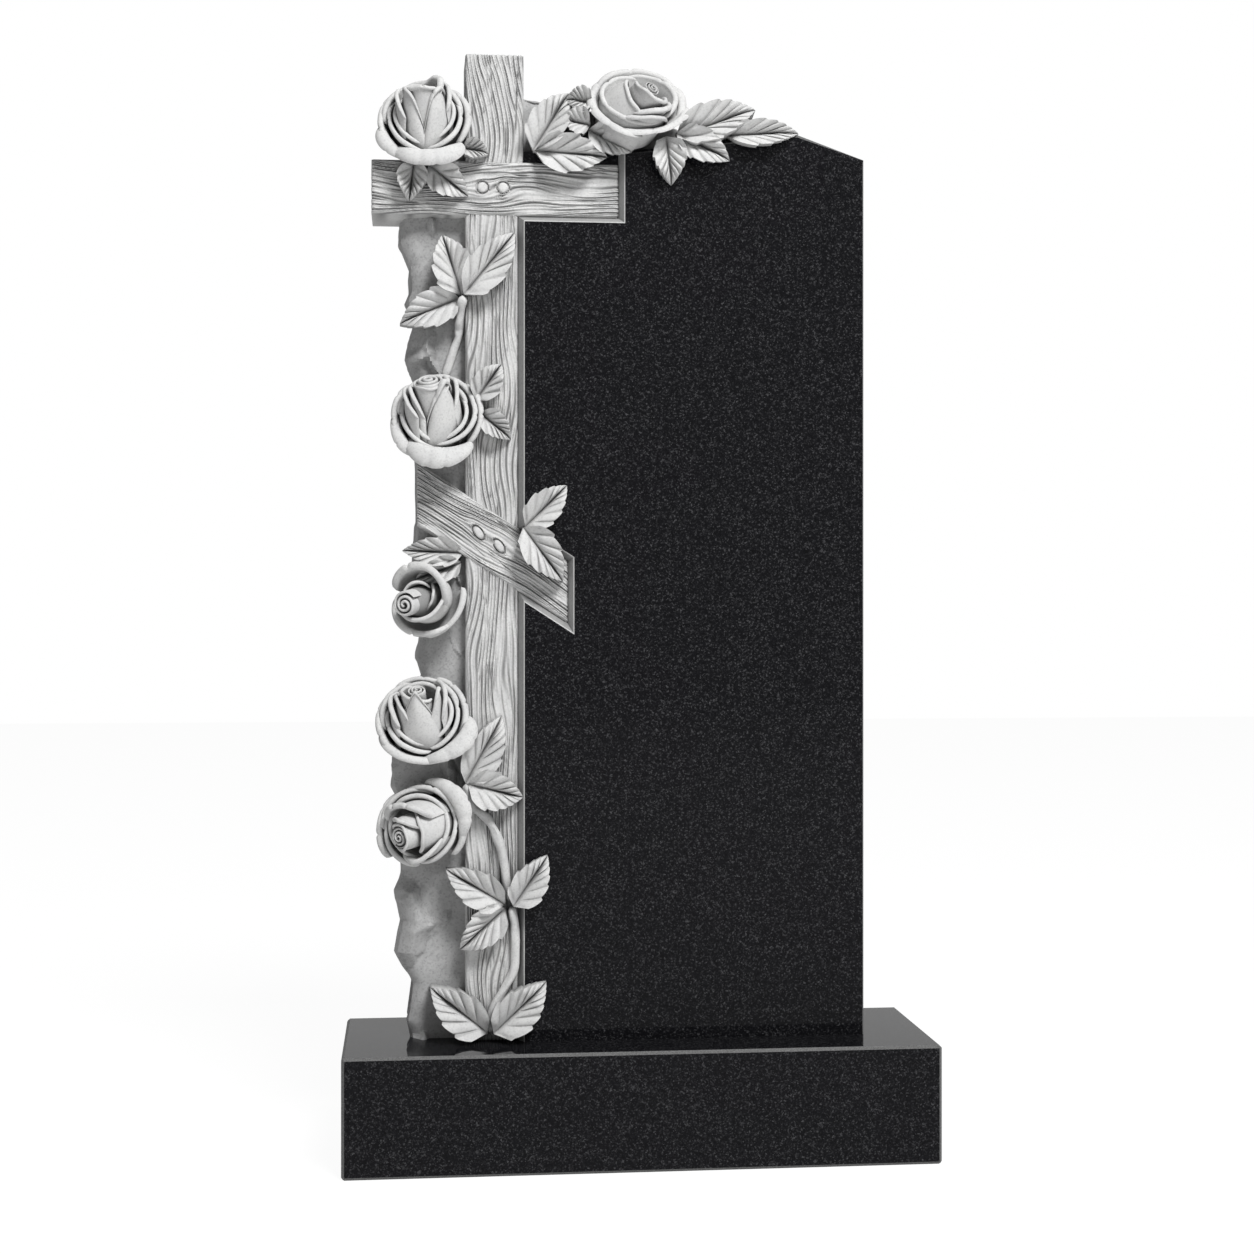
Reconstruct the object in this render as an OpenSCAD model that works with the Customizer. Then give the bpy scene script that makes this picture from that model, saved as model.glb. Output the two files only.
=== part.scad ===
// Carved granite headstone: an upright slab (stele) on a plinth.
// A wooden-looking Orthodox cross with climbing roses is carved out of the slab's left side.
// Millimetres, +Z up, front face towards -Y, origin at the middle of the plinth's underside.
// The stele's own modules work in a local frame: z = 0 is the top of the plinth.

/* [Plinth] */
// Width of the plinth
plinth_w = 600; // [560:5:800]
// Depth of the plinth, front to back
plinth_d = 200; // [180:5:300]
// Height of the plinth
plinth_h = 120; // [80:5:200]
// Width of the small chamfer along every edge of the plinth
plinth_chamfer = 3; // [1:0.5:6]

/* [Slab] */
// Thickness of the slab, front to back
slab_t = 80; // [64:1:100]
// Distance from the plinth's middle to the slab's right edge
slab_right = 232.5; // [200:2.5:280]
// Height of the slab's right corner above the level beam's top
shoulder_up = 8.5; // [-10:0.5:30]
// Height of the slab's peak above the level beam's top
peak_up = 33.5; // [25:0.5:70]
// Distance from the peak to the slab's right edge
peak_in = 69; // [40:1:90]
// Height of the polished face above the level beam's top, behind the roses
crest_up = 11.5; // [8:0.5:20]
// Chamfer along the slab's front edges
slab_chamfer = 3; // [1:0.5:5]

/* [Cross] */
// Distance from the plinth's middle to the post's centre line
post_in = 147.5; // [120:0.5:160]
// Width of the post
post_w = 59; // [48:1:72]
// Height of the post above the plinth
post_h = 1003; // [980:1:1210]
// Full length of the level beam
beam_l = 251; // [200:1:300]
// Height of the level beam
beam_h = 55; // [48:1:66]
// Distance from the post's top down to the level beam's centre line
beam_drop = 137; // [110:1:160]
// Height of the slanted beam's centre above the plinth
foot_z = 506; // [440:1:560]
// Width across the slanted beam's span
foot_l = 153; // [130:1:190]
// Upright height of the slanted beam's ends
foot_h = 64; // [54:1:80]
// Slope of the slanted beam, falling to the right
foot_slope = 33; // [20:1:40]
// Depth of the cross's face below the polished face
cross_sink = 8; // [5:0.5:12]
// Width of the sloping border cut round the cross
border = 5.5; // [4:0.5:8]
// Depth of a groove of the wood grain
grain_depth = 2; // [1:0.5:3]
// Radius of a nail head
nail_r = 5.2; // [4:0.1:7]
// Distance between the two nails
nail_gap = 21; // [16:1:26]

/* [Rough edge] */
// Distance from the post's left side to the rough edge's outline
edge_out = 62; // [50:1:75]
// Depth of the rough edge's front below the polished face
edge_sink = 34; // [26:1:45]
// Size of the chipped facets' unevenness
chip = 7; // [3:0.5:9]
// Number of rows of facets up the rough edge
chip_rows = 20; // [14:1:30]
// Height of the rough edge above the level beam, behind the top left rose
edge_rise = 56; // [20:1:70]
// Height of the rough crest above the polished face, next to the post
crest_rise = 54; // [30:1:70]
// Height of the rough crest above the polished face, next to the peak
crest_end = 16; // [0:1:20]

/* [Roses and leaves] */
// Radius of a full rose
rose_r = 47.5; // [39:0.5:56]
// How far a full rose stands in front of the polished face
rose_out = 27; // [20:1:34]
// How far a leaf's edge stands in front of what it lies on
leaf_out = 9; // [5:0.5:12]
// Thickness of a stem
stem_d = 9; // [7:0.5:12]

/* [Hidden] */

face_y = -slab_t / 2;
back_y = slab_t / 2;
cross_y = face_y + cross_sink;
edge_y = face_y + edge_sink;
post_x = -post_in;
post_left = post_x - post_w / 2;
post_right = post_x + post_w / 2;
beam_z = post_h - beam_drop;
beam_top = beam_z + beam_h / 2;
shoulder_z = beam_top + shoulder_up;
peak_z = beam_top + peak_up;
crest_z = beam_top + crest_up;
beam_x = post_x + 1;
beam_left = beam_x - beam_l / 2;
beam_right = beam_x + beam_l / 2;
foot_x = post_x - 2;
foot_rise = foot_l / 2 * tan(foot_slope);
foot_back = 0;
edge_left = post_left - edge_out;
// Bare strip between the end of a board and its grain, and the size of the overlap in a cut or join
board_end = 4;
eps = 0.5;

stone_black = [0.13, 0.13, 0.14];
stone_carved = [0.72, 0.72, 0.72];
stone_rough = [0.5, 0.5, 0.5];

// ---- helpers -------------------------------------------------------------------------

// Draws a flat shape given in (x, z) and pulls it back from y = front to y = back
module upright(front, back) {
    translate([0, back, 0])
        rotate([90, 0, 0])
            linear_extrude(height = back - front)
                children();
}

// Splits a four-sided face into two triangles
function quad(a, b, c, d) = [[a, b, c], [a, c, d]];

// Keeps the triangles whose three corners are different points
function proper(faces) = [for (f = faces) if (f[0] != f[1] && f[1] != f[2] && f[2] != f[0]) f];

function flat_list(lists) = [for (l = lists) for (v = l) v];

// Skin over rows of points. Each row is a closed ring of n points that runs counterclockwise
// when it is seen from the last row, and the two ends are flat.
function ring_faces(rows, n) = concat(
    flat_list([for (j = [0:rows - 2]) for (k = [0:n - 1])
        quad(j * n + k, (j + 1) * n + k, (j + 1) * n + (k + 1) % n, j * n + (k + 1) % n)]),
    [[for (k = [0:n - 1]) k]],
    [[for (k = [n - 1:-1:0]) (rows - 1) * n + k]]);

// ---- plinth --------------------------------------------------------------------------

// A rectangle with its corners cut off, standing on its own base line
module plinth_outline(w, h) {
    c = plinth_chamfer;
    polygon([
        [-w / 2 + c, 0], [w / 2 - c, 0], [w / 2, c], [w / 2, h - c],
        [w / 2 - c, h], [-w / 2 + c, h], [-w / 2, h - c], [-w / 2, c]]);
}

// A sawn and polished block: three crossed prisms leave a chamfer on every edge
module plinth() {
    color(stone_black)
        intersection() {
            upright(-plinth_d / 2, plinth_d / 2)
                plinth_outline(plinth_w, plinth_h);
            translate([-plinth_w / 2, 0, 0])
                rotate([90, 0, 90])
                    linear_extrude(height = plinth_w)
                        plinth_outline(plinth_d, plinth_h);
            translate([0, -plinth_d / 2, 0])
                linear_extrude(height = plinth_h)
                    plinth_outline(plinth_w, plinth_d);
        }
}

// ---- slab ----------------------------------------------------------------------------

// Outline of the polished slab in (x, z), drawn in by a margin
module slab_outline(margin) {
    offset(delta = -margin)
        polygon([
            [post_x, 0], [slab_right, 0], [slab_right, shoulder_z],
            [slab_right - peak_in, peak_z], [beam_right, crest_z], [post_x, crest_z]]);
}

// One piece of the sloping border: flat outline at the cross's face, wider at the slab's face
module border_cut(grow) {
    hull() {
        upright(cross_y, cross_y + eps)
            children();
        upright(face_y - eps, face_y - eps / 2)
            offset(delta = grow)
                children();
    }
}

module slab() {
    difference() {
        color(stone_black)
            hull() {
                upright(face_y + slab_chamfer, back_y)
                    slab_outline(0);
                upright(face_y, back_y - slab_chamfer)
                    slab_outline(slab_chamfer);
            }
        color(stone_carved) {
            border_cut(border) post_outline();
            border_cut(border) beam_outline();
            border_cut(border) foot_outline();
        }
    }
}

// ---- cross ---------------------------------------------------------------------------

// The post gives up the width of the sloping border where the polished slab lies beside it
module post_outline() {
    translate([post_left, 0])
        square([post_w - border, beam_z]);
    translate([post_left, beam_z])
        square([post_w, post_h - beam_z]);
}

module beam_outline() {
    translate([beam_left, beam_z - beam_h / 2])
        square([beam_l, beam_h]);
}

// Slanted beam: its long sides slope and its ends are upright
module foot_outline() {
    polygon([
        [foot_x - foot_l / 2, foot_z + foot_rise - foot_h / 2],
        [foot_x + foot_l / 2, foot_z - foot_rise - foot_h / 2],
        [foot_x + foot_l / 2, foot_z - foot_rise + foot_h / 2],
        [foot_x - foot_l / 2, foot_z + foot_rise + foot_h / 2]]);
}

// A wavy groove of the wood grain along +X, at sideways place y, cut down from z = 0
module grain_line(length, y, phase) {
    steps = 5;
    half = 1.6;
    rows = [for (i = [0:steps]) let (
        t = i / steps,
        side = y + 2.4 * sin(phase + 300 * t) + 1.2 * sin(2 * phase + 690 * t),
        deep = grain_depth * (0.35 + 0.65 * sin(180 * t)))
        [[t * length, side - half, eps], [t * length, side, -deep], [t * length, side + half, eps]]];
    polyhedron(points = flat_list(rows), faces = ring_faces(steps + 1, 3));
}

// Rows of grooves over a board of the given length and width
module grain(length, width, lines, seed) {
    for (i = [1:lines])
        translate([length * 0.03 * (i % 3), 0, 0])
            grain_line(length * 0.93, width * (i / (lines + 1) - 0.5), seed + 97 * i);
}

// Turns a pattern drawn on a board lying along +X so that it lies on the cross's front face
module on_face(x, z, turn) {
    translate([x, cross_y, z])
        rotate([90, 0, 0])
            rotate([0, 0, turn])
                children();
}

// Two nail heads, each standing in a ring groove
module nail_rings(z, slope) {
    for (side = [-0.5, 0.5])
        on_face(post_x + side * nail_gap - board_end, z - side * nail_gap * tan(slope), 0)
            translate([0, 0, -grain_depth])
                difference() {
                    cylinder(r = nail_r + 1, h = 2 * grain_depth, $fn = 12);
                    translate([0, 0, -eps])
                        cylinder(r = nail_r - 1, h = 2 * grain_depth + 2 * eps, $fn = 12);
                }
}

// Grain of the post between two heights
module post_grain(low, high, lines, seed) {
    on_face(post_x, low + board_end, 90)
        grain(high - low - 2 * board_end, post_w, lines, seed);
}

// Post, level beam and slanted beam, with the grain and the nails cut into their faces
module cross() {
    foot_clear = foot_h / 2 + foot_rise / 2;
    color(stone_carved)
        difference() {
            union() {
                upright(cross_y, back_y)
                    post_outline();
                upright(cross_y - eps, back_y)
                    beam_outline();
                upright(cross_y - eps, foot_back)
                    foot_outline();
            }
            post_grain(0, foot_z - foot_clear, 3, 20);
            post_grain(foot_z + foot_clear, beam_z - beam_h / 2, 4, 60);
            post_grain(beam_top, post_h, 3, 140);
            on_face(beam_left + board_end, beam_z, 0)
                grain(beam_l - 2 * board_end, beam_h, 3, 200);
            on_face(foot_x - foot_l / 2 + board_end, foot_z + foot_rise, -foot_slope)
                grain((foot_l - 3 * board_end) / cos(foot_slope), foot_h * cos(foot_slope), 3, 310);
            nail_rings(beam_z, 0);
            nail_rings(foot_z, foot_slope);
        }
}

// ---- rough edge ----------------------------------------------------------------------

// Rock-pitched border left of the post: a skin of chipped facets from the plinth to the beam's top
module rough_edge() {
    top = beam_top + edge_rise;
    jig = rands(-1, 1, 8 * chip_rows, 11);
    function j(row, i) = chip * jig[(row * 5 + i) % len(jig)];
    rows = [for (r = [0:chip_rows - 1]) let (
        z = top * r / (chip_rows - 1),
        zj = (r == 0 || r == chip_rows - 1) ? 0 : 1,
        wave = 9 * sin(z * 0.9 - 40) + 4 * sin(z * 2.3))
        [
            [post_x, back_y, z],
            [edge_left + wave * 0.6 + j(r, 0), back_y, z],
            [edge_left - wave * 0.5 + j(r, 1), (back_y + edge_y) / 2 + j(r, 2), z + zj * j(r, 3)],
            [edge_left + 12 + j(r, 4), edge_y + j(r, 5) / 2 + 4, z + zj * j(r, 6)],
            [post_left - 24 + j(r, 7), edge_y - 3 + j(r, 8) * 0.8, z + zj * j(r, 9)],
            [post_left + 2, edge_y + 4 + j(r, 10) / 2, z],
            [post_x, edge_y + 8, z]
        ]];
    color(stone_rough)
        polyhedron(points = flat_list(rows), faces = ring_faces(chip_rows, 7));
}

// Rough crest between the post and the peak, the ground that the top rose and leaves lie on
module rough_crest() {
    steps = 9;
    start = post_right - border;
    span = slab_right - peak_in - 2 * border - start;
    jig = rands(-1, 1, 6 * steps + 6, 29);
    rows = [for (r = [0:steps]) let (
        t = r / steps,
        x = start + span * t,
        low = beam_z - beam_h / 2,
        top = crest_z + crest_rise * pow(1 - t, 0.8) + crest_end * t,
        k = 6 * r)
        [
            [x, edge_y - 4, low],
            [x, back_y, low],
            [x, back_y, top + jig[k] * 3],
            [x, (back_y + edge_y) / 2 + jig[k + 1] * chip, top + jig[k + 2] * 3],
            [x, edge_y + jig[k + 3] * 3, top - 2 * chip + jig[k + 4] * 4]
        ]];
    color(stone_rough)
        polyhedron(points = flat_list(rows), faces = ring_faces(steps + 1, 5));
}

// ---- roses ---------------------------------------------------------------------------

// A petal stands round the rose's own axis. Its section is swept from side to side:
// up the outside from the calyx to the rolled lip, and down the inside into the bud.
// turn: where the petal's middle is, half: how far it reaches to each side (degrees),
// r: belly radius, lip: height of the lip, flare: how far the lip leans out (shares of rose_r).
module petal(size, turn, half, r, lip, flare) {
    steps = 5;
    foot = -0.72;
    section = [
        [0.25 * r, foot], [0.86 * r, foot + 0.25], [r, lip - 0.3],
        [r + flare, lip - 0.03], [r + flare - 0.06, lip + 0.02], [0.2 * r, lip - 0.36]];
    n = len(section);
    rows = [for (j = [0:steps]) let (
        u = 2 * j / steps - 1,
        drop = pow(abs(u), 2.2),
        a = turn - half * u)
        [for (s = section) let (
            z = foot + (s[1] - foot) * (1 - 0.42 * drop),
            q = s[0] * (1 - 0.16 * drop))
            size * [q * sin(a), -q * cos(a), z]]];
    polyhedron(points = flat_list(rows), faces = ring_faces(steps + 1, n));
}

// Layers of a full rose, from the bud outwards: turn, half, belly, lip, flare
ROSE_PETALS = [
    [-20, 120, 0.50, 0.84, -0.12],
    [165, 110, 0.46, 0.92, -0.10],
    [-88, 66, 0.70, 0.62, 0.06],
    [100, 66, 0.76, 0.58, 0.06],
    [150, 62, 0.90, 0.40, 0.12],
    [-130, 60, 0.92, 0.34, 0.14],
    [-6, 80, 0.90, -0.10, 0.16]
];

// A rose whose axis leans sideways and is tipped towards the front
module rose(x, z, size, lean, tip, spin, petals) {
    y = face_y - rose_out + size * 0.98;
    translate([x, y, z])
        rotate([0, lean, 0])
            rotate([tip, 0, 0])
                rotate([0, 0, spin]) {
                    for (p = [0:petals - 1])
                        petal(size, ROSE_PETALS[p][0], ROSE_PETALS[p][1], ROSE_PETALS[p][2],
                            ROSE_PETALS[p][3], ROSE_PETALS[p][4]);
                    rotate_extrude($fn = 8)
                        polygon(size * [[0, -0.78], [0.34, -0.72], [0.6, -0.35], [0.45, 0.3], [0, 0.74]]);
                }
}

// Each rose: x from the post's left side, z, size, lean, tip, spin, petals
function roses() = [
    [-41, beam_top + 40, rose_r, -8, 38, 0, 7],
    [174, crest_z + 42, rose_r, 38, 62, 30, 7],
    [-28, 634, rose_r * 0.97, 4, 32, 0, 7],
    [-40, 449, rose_r * 0.82, -118, 42, 20, 6],
    [-43, 325, rose_r * 0.98, -10, 34, -12, 7],
    [-43, 216, rose_r, -108, 44, 40, 7]
];

module rose_garland() {
    color(stone_carved)
        for (r = roses())
            rose(post_left + r[0], r[1], r[2], r[3], r[4], r[5], r[6]);
}

// ---- leaves and stems ----------------------------------------------------------------

// Half-width of a pointed leaf along its length, as a share of the widest place
function leaf_half(t) = sin(180 * pow(t, 0.82));

// A serrated leaf from (0, 0) to (length, 0), folded along its midrib and carried on a solid back
module leaf(length, width, back) {
    n = 5;
    spine = [for (i = [0:n]) length * i / n];
    function edge(i, side) = let (t = i / n, tooth = (i % 2 == 0) ? 0.9 : 1.06)
        [spine[i] + ((i % 2 == 0) ? 0 : length * 0.05), side * width / 2 * leaf_half(t) * tooth,
            leaf_out * (0.25 + 0.75 * leaf_half(t))];
    mid = [for (i = [0:n]) [spine[i], 0, leaf_out * 0.4 * leaf_half(i / n)]];
    left = [for (i = [1:n - 1]) edge(i, 1)];
    right = [for (i = [1:n - 1]) edge(i, -1)];
    rim = concat([mid[0]], right, [mid[n]], [for (i = [n - 2:-1:0]) left[i]]);
    floor_ring = [for (p = rim) [p[0], p[1] * 0.92, -back]];
    r = len(rim);
    function rib(i) = i == 0 ? 0 : i == n ? n : 2 * r + i - 1;
    function l(i) = i == 0 ? 0 : i == n ? n : r - i;
    function g(i) = i;
    points = concat(rim, floor_ring, [for (i = [1:n - 1]) mid[i]]);
    top = flat_list([for (i = [0:n - 1]) concat(
        quad(rib(i), l(i), l(i + 1), rib(i + 1)),
        quad(rib(i + 1), g(i + 1), g(i), rib(i)))]);
    wall = flat_list([for (k = [0:r - 1]) quad(k, (k + 1) % r, r + (k + 1) % r, r + k)]);
    base = [for (k = [1:r - 2]) [r, r + k, r + k + 1]];
    polyhedron(points = points, faces = proper(concat(top, wall, base)));
}

// Puts a leaf on the stone: from (x, z) at an angle, its back at the given height over the slab's face
module leaf_at(x, z, angle, length, width, over, roll, back) {
    translate([x, face_y - over, z])
        rotate([0, -angle, 0])
            rotate([90 + roll, 0, 0])
                leaf(length, width, back);
}

// Leaves: x from the post's left side, z, angle, length, width, over, roll, back
function leaves() = [
    // under the top left rose, on the beam
    [-52, beam_top - 4, -97, 40, 30, -2, 0, 20],
    [-37, beam_top - 6, -38, 50, 34, -4, 10, 16],
    [-4, beam_top + 12, -12, 28, 20, -4, 0, 14],
    // between the post and the top rose
    [68, beam_top + 10, 58, 70, 40, 0, -6, 32],
    [70, beam_top + 10, -4, 74, 40, 2, 8, 18],
    [86, beam_top + 48, 4, 48, 30, 2, 0, 30],
    [90, beam_top + 26, 24, 46, 30, 0, 0, 30],
    // right of the top rose
    [204, crest_z + 16, -84, 50, 34, 2, 0, 10],
    [214, crest_z + 20, -26, 62, 34, 2, 6, 12],
    [214, crest_z + 16, 20, 88, 40, 0, -6, 34],
    [270, crest_z + 22, 3, 72, 20, 0, 0, 30],
    // below the beam
    [-4, beam_z - beam_h / 2 - 81, 108, 64, 42, -6, 0, 26],
    [-2, beam_z - beam_h / 2 - 81, 51, 82, 40, 0, 6, 16],
    [-6, beam_z - beam_h / 2 - 83, -156, 66, 38, -12, 0, 20],
    // right of the third rose
    [10, 650, 55, 46, 30, -4, 0, 12],
    [14, 638, -40, 42, 26, -4, 0, 12],
    // on the slanted beam
    [60, 522, 45, 60, 34, 4, 0, 12],
    [58, 522, -54, 68, 38, 6, 0, 16],
    // above and under the bud
    [-2, 496, 178, 62, 30, -12, 0, 20],
    [-4, 486, 200, 50, 26, -10, 0, 20],
    // beside the two low roses
    [0, 262, 62, 78, 38, -2, 6, 14],
    [2, 262, -14, 58, 40, 0, 0, 14],
    // the group of three
    [40, 140, 149, 70, 38, 2, 0, 18],
    [40, 136, -138, 62, 36, 0, 0, 18],
    [48, 138, 56, 62, 36, 5, 0, 14],
    // the pair at the foot
    [22, 10, 141, 74, 42, 0, 0, 24],
    [28, 10, 44, 74, 42, 6, 0, 18]
];

module foliage() {
    color(stone_carved)
        for (l = leaves())
            leaf_at(post_left + l[0], l[1], l[2], l[3], l[4], l[5], l[6], l[7]);
}

// A stem runs through the places of its route: x from the post's left side, over the slab's face, z
module stem(route) {
    for (i = [1:len(route) - 1])
        hull()
            for (p = [route[i - 1], route[i]])
                translate([post_left + p[0], face_y - p[1], p[2]])
                    sphere(d = stem_d, $fn = 6);
}

module stems() {
    beam_under = beam_z - beam_h / 2;
    color(stone_carved) {
        stem([[-3, 0, beam_under - 82], [-6, -12, beam_under - 108], [-8, -18, beam_under - 126],
            [-22, -20, beam_under - 166]]);
        stem([[0, 0, 262], [6, -3, 240], [22, -3, 226], [36, -2, 196], [44, 0, 142]]);
        stem([[46, 0, 138], [50, -2, 112], [48, -3, 70], [28, -2, 34], [25, 0, 10]]);
    }
}

// ---- stele ---------------------------------------------------------------------------

// One block of stone: nothing reaches below the plinth's top
module stele() {
    translate([0, 0, plinth_h])
        difference() {
            union() {
                slab();
                rough_edge();
                rough_crest();
                cross();
                rose_garland();
                foliage();
                stems();
            }
            translate([-plinth_w / 2, -plinth_d / 2, -plinth_h])
                cube([plinth_w, plinth_d, plinth_h]);
        }
}

plinth();
stele();
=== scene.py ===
import math

import bmesh
import bpy
import numpy as np
from mathutils import Matrix, Vector, noise


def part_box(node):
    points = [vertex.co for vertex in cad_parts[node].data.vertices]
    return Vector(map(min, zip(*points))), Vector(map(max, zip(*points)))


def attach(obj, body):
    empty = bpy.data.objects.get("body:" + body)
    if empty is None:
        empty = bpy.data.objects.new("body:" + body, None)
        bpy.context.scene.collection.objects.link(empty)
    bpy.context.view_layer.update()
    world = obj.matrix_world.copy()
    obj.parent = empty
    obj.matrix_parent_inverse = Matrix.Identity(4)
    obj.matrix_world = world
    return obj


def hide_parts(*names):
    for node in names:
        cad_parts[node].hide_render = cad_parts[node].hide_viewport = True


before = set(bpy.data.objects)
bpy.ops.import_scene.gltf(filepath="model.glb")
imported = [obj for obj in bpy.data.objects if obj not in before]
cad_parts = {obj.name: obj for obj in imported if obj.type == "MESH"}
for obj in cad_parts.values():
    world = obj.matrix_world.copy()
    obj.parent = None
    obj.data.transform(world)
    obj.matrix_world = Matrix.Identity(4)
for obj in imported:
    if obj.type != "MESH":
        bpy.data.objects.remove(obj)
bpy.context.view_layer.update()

# A carved granite headstone. Lengths below are millimetres, and every mesh is turned into metres
# when its piece is finished. The front looks towards -Y. The polished slab, the cross, the rough
# edge, the roses, the leaves and the stems are one block of stone, so each rides and stands alike.

# ======== plinth ============================================================================
# The plinth is a block of fine black granite, sawn to size and polished on its sides and top. Its
# edges are taken off with a grinder into narrow matt bands, pale partly in their own tone and partly
# as a painted reflection of the bright studio.

MM = 0.001


class Wire:
    """A value that runs through a finish. Arithmetic on it adds a Math node."""

    def __init__(self, finish, socket):
        self.finish = finish
        self.socket = socket

    def math(self, operation, first, second=0.0):
        return self.finish.node("ShaderNodeMath", {"operation": operation}, {0: first, 1: second})

    def __add__(self, other):
        return self.math("ADD", self, other)

    __radd__ = __add__

    def __sub__(self, other):
        return self.math("SUBTRACT", self, other)

    def __rsub__(self, other):
        return self.math("SUBTRACT", other, self)

    def __mul__(self, other):
        return self.math("MULTIPLY", self, other)

    __rmul__ = __mul__

    def __pow__(self, other):
        return self.math("POWER", self, other)

    def __abs__(self):
        return self.math("ABSOLUTE", self)

    def highest(self, other):
        return self.math("MAXIMUM", self, other)

    def under(self, limit):
        return self.math("LESS_THAN", self, limit)

    def step(self, low, high):
        """0 below low, 1 above high, and a straight rise between."""
        inputs = {"Value": self, "From Min": low, "From Max": high}
        return self.finish.node("ShaderNodeMapRange", {"clamp": True}, inputs)


class Finish:
    """The nodes of a material, or of the world, whose sockets take wires or plain values."""

    def __init__(self, owner):
        owner.use_nodes = True
        self.owner = owner
        self.tree = owner.node_tree
        self.shader = self.tree.nodes.get("Principled BSDF") or self.tree.nodes["Background"]

    def fill(self, sockets, inputs):
        for key, value in inputs.items():
            if isinstance(value, Wire):
                self.tree.links.new(value.socket, sockets[key])
            else:
                sockets[key].default_value = value

    def node(self, kind, settings, inputs, output=0):
        made = self.tree.nodes.new(kind)
        for key, value in settings.items():
            setattr(made, key, value)
        self.fill(made.inputs, inputs)
        return Wire(self, made.outputs[output])

    def place(self):
        return self.node("ShaderNodeTexCoord", {}, {}, "Object")

    def clouds(self, grain, detail=2.0, rough=0.5):
        """Soft noise whose lumps are about grain millimetres across."""
        inputs = {"Vector": self.place(), "Scale": 1 / (grain * MM), "Detail": detail, "Roughness": rough}
        return self.node("ShaderNodeTexNoise", {}, inputs)

    def crystals(self, grain):
        """A random value from 0 to 1 for each crystal, grain millimetres across."""
        inputs = {"Vector": self.place(), "Scale": 1 / (grain * MM)}
        colour = self.node("ShaderNodeTexVoronoi", {}, inputs, "Color")
        return self.node("ShaderNodeSeparateColor", {}, {"Color": colour}, "Red")

    def blend(self, amount, low, high):
        inputs = {"Factor": amount, 6: low, 7: high}
        return self.node("ShaderNodeMix", {"data_type": "RGBA"}, inputs, 2)

    def bump(self, height, depth, strength=1.0):
        inputs = {"Height": height, "Distance": depth * MM, "Strength": strength}
        return self.node("ShaderNodeBump", {}, inputs, "Normal")

    def off_square(self):
        """1 on bands that lie aslant to all three axes, such as an arris taken off by a grinder."""
        facing = self.node("ShaderNodeNewGeometry", {}, {}, "True Normal")
        sides = [self.node("ShaderNodeSeparateXYZ", {}, {0: facing}, axis) for axis in "XYZ"]
        return abs(sides[0]).highest(abs(sides[1])).highest(abs(sides[2])).under(0.8)


def new_finish(name):
    return Finish(bpy.data.materials.new(name))


def grey(value, blue=1.0):
    return (value, value, value * blue, 1)


def black_granite(name, roughness, gloss, ground_roughness=0.6):
    """Fine black granite with pale flecks; its arrises are matt and pale, partly from the grinder, partly
    as painted reflection.
    """
    stone = new_finish(name)
    flecks = stone.crystals(1.25) ** 4 * stone.clouds(2.4, 3).step(0.38, 0.6)
    cloud = stone.clouds(5, 4, 0.75).step(0.3, 0.75)
    body = stone.blend(cloud, grey(0.0018, 1.3), grey(0.0075, 1.25))
    body = stone.blend(flecks, body, grey(0.064, 1.06))
    arris = stone.off_square()
    # Paler matt arrises: partly the grinder's tone, partly a painted reflection of the bright studio.
    grinder_tone_and_reflection = stone.blend(stone.clouds(1.2).step(0.35, 0.65), grey(0.1), grey(0.18))
    polish = stone.clouds(60, 3) * 0.03 + roughness
    stone.fill(stone.shader.inputs, {
        "Base Color": stone.blend(arris, body, grinder_tone_and_reflection),
        "Roughness": arris * (ground_roughness - roughness) + polish,
        "Specular IOR Level": gloss,
        "Normal": stone.bump(stone.clouds(30, 1), 0.02, 0.15)})
    return stone.owner


POLISHED = black_granite("polished black granite", 0.05, 0.08)
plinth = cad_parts["plinth"]
plinth.data.materials.clear()
plinth.data.materials.append(POLISHED)
plinth_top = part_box("plinth")[1].z / MM

# ======== slab ==============================================================================
# The slab is the polished right part of the stele's block. Its face is mirror-smooth, its back is
# only honed, and a sloping band is cut from the face down to the cross all along their meeting.

low, high = (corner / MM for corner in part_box("stele"))
back_y = high.y
face_y = -back_y
slab_right = high.x
post_top = high.z

BEAM_LENGTH = 251
BEAM_HEIGHT = 55
BEAM_DROP = 137
POST_WIDTH = 59
FOOT_SPAN = 153
FOOT_HEIGHT = 64
FOOT_SLOPE = math.tan(math.radians(33))
FOOT_Z = 506
CROSS_SINK = 8
BORDER = 5.5
CHAMFER = 3
ARRIS = 1.2
BORDER_ARRIS = 0.7
BACK_ARRIS = 2
INSET = 1.5
SHOULDER = 902
PEAK_IN = 69
PEAK_RISE = 25

beam_left = low.x
beam_right = beam_left + BEAM_LENGTH
post_x = beam_left + BEAM_LENGTH / 2 - 1
post_left = post_x - POST_WIDTH / 2
post_right = post_x + POST_WIDTH / 2
beam_z = post_top - BEAM_DROP
beam_top = beam_z + BEAM_HEIGHT / 2
beam_under = beam_z - BEAM_HEIGHT / 2
foot_x = post_x - 2
foot_right = foot_x + FOOT_SPAN / 2
foot_z = plinth_top + FOOT_Z
cross_y = face_y + CROSS_SINK
low_post_right = post_right - BORDER
shoulder = (slab_right, plinth_top + SHOULDER)
peak = (slab_right - PEAK_IN, shoulder[1] + PEAK_RISE)
crest_z = shoulder[1] + 3


def foot_line(x, side):
    """Height of the slanted beam's upper (side 1) or lower (side -1) edge above the floor."""
    return foot_z - (x - foot_x) * FOOT_SLOPE + side * FOOT_HEIGHT / 2


def smooth_from_angle(mesh, degrees):
    mesh.polygons.foreach_set("use_smooth", [True] * len(mesh.polygons))
    mesh.set_sharp_from_angle(angle=math.radians(degrees))


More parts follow.
